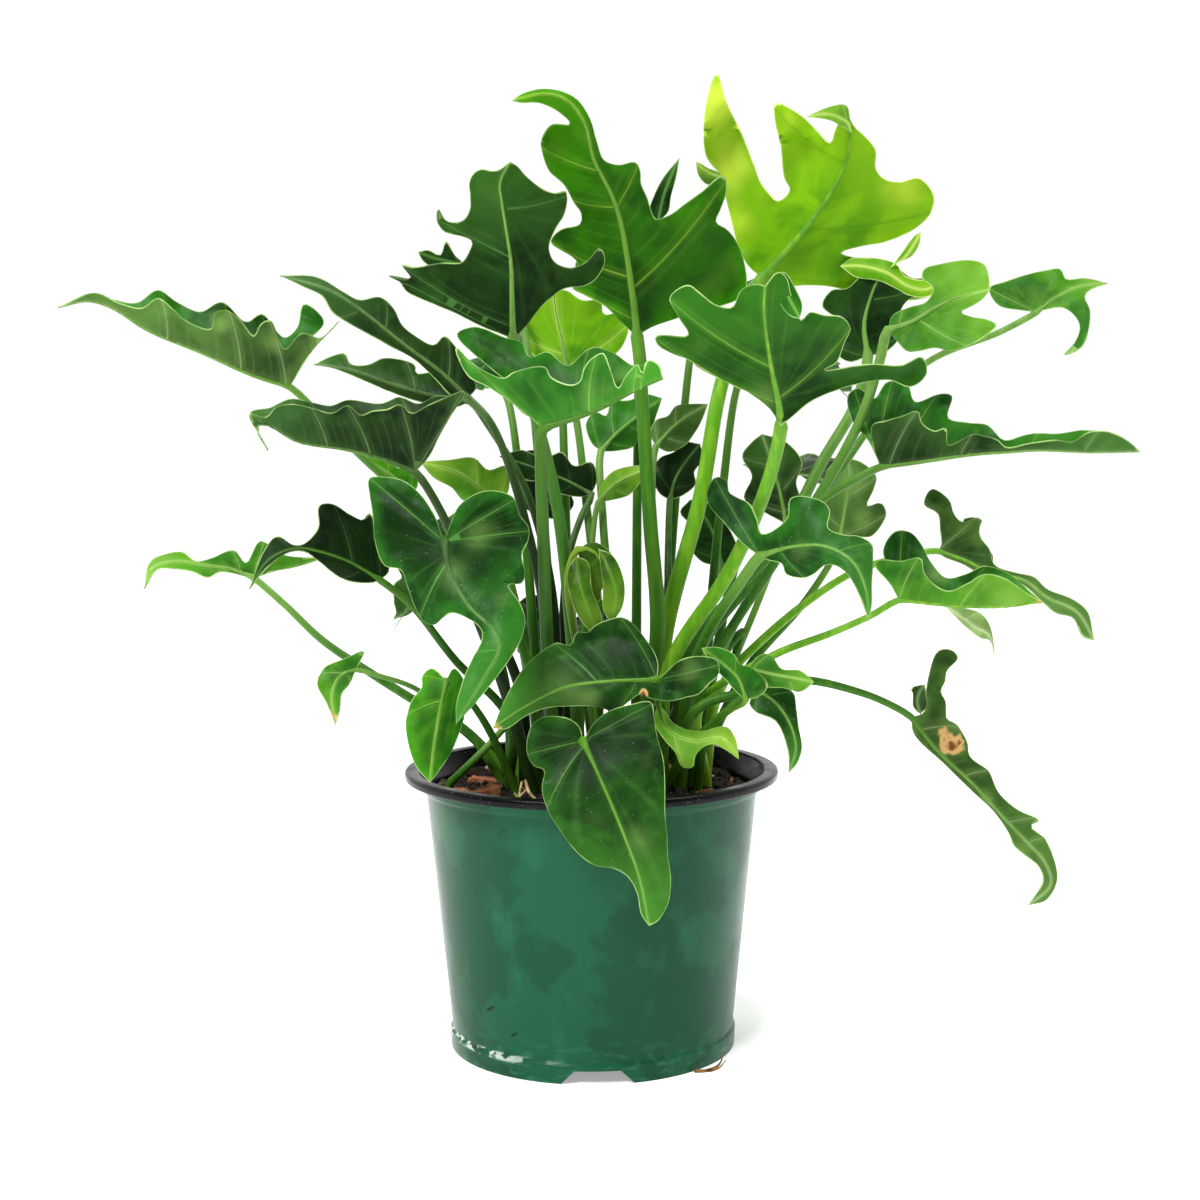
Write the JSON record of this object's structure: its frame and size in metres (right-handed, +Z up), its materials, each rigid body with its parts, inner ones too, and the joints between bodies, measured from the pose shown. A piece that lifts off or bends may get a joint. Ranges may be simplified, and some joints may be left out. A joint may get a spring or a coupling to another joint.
{
  "type": "potted philodendron plant",
  "caption": "Bushy philodendron with deeply lobed glossy leaves on long stalks, in a round flared plastic nursery pot filled with dark potting soil.",
  "frame": {"origin": "on the surface the pot stands on, below the middle of the whole plant's box", "axes": "+Z up, -Y towards the front that is seen in the picture, +X to the right of that view"},
  "size_m": [0.5778, 0.3836, 0.5481],
  "materials": {
    "pot_plastic": "satin",
    "potting_soil": "matte",
    "bark": "matte",
    "crown_stem": "satin",
    "leaf_bright": "satin",
    "leaf_mid": "satin",
    "leaf_dark": "satin"
  },
  "bodies": {
    "root": {"pot": "pot_plastic", "soil": "potting_soil", "crown_left": "crown_stem", "crown_centre": "crown_stem", "crown_right": "crown_stem", "bark_chip_1": "bark", "bark_chip_2": "bark", "bark_chip_3": "bark", "bark_chip_4": "bark", "leaf_far_left_high": "leaf_mid", "leaf_left_inner_upper": "leaf_dark", "leaf_left_inner_lower": "leaf_dark", "leaf_left_middle": "leaf_dark", "leaf_left_lower_dark": "leaf_dark", "leaf_far_left_low": "leaf_mid", "leaf_front_left_heart": "leaf_dark", "leaf_small_bright_left": "leaf_bright", "leaf_tiny_damaged": "leaf_mid", "leaf_front_centre": "leaf_dark", "leaf_front_over_rim": "leaf_dark", "leaf_front_right_light": "leaf_bright", "leaf_mid_cup": "leaf_mid", "leaf_top_left_dark": "leaf_dark", "leaf_top_centre": "leaf_mid", "leaf_top_right_bright": "leaf_bright", "leaf_back_light": "leaf_bright", "leaf_right_centre_big": "leaf_mid", "leaf_right_dark_behind": "leaf_dark", "leaf_right_upper": "leaf_mid", "leaf_far_right_top": "leaf_mid", "leaf_far_right_long": "leaf_mid", "leaf_mid_right_behind": "leaf_mid", "leaf_front_right": "leaf_dark", "leaf_right_low": "leaf_mid", "leaf_right_outer": "leaf_mid", "leaf_far_right_drooping": "leaf_bright", "leaf_right_lower_dark": "leaf_dark", "leaf_small_folded": "leaf_bright", "leaf_young_drooping": "leaf_bright", "leaf_inner_bright": "leaf_bright", "leaf_inner_dark": "leaf_dark", "leaf_inner_right_pale": "leaf_bright", "leaf_inner_right_dark": "leaf_dark", "leaf_behind_heart_light": "leaf_bright", "leaf_left_bright_behind": "leaf_bright", "leaf_far_side_1": "leaf_mid", "leaf_far_side_2": "leaf_mid", "leaf_far_side_3": "leaf_mid", "leaf_far_side_4": "leaf_mid", "leaf_far_side_5": "leaf_mid", "leaf_far_side_6": "leaf_mid", "leaf_far_side_7": "leaf_mid", "leaf_far_side_8": "leaf_mid", "leaf_far_side_9": "leaf_mid", "leaf_far_side_10": "leaf_mid", "stalk_bare": "leaf_mid"}
  },
  "joints": []
}
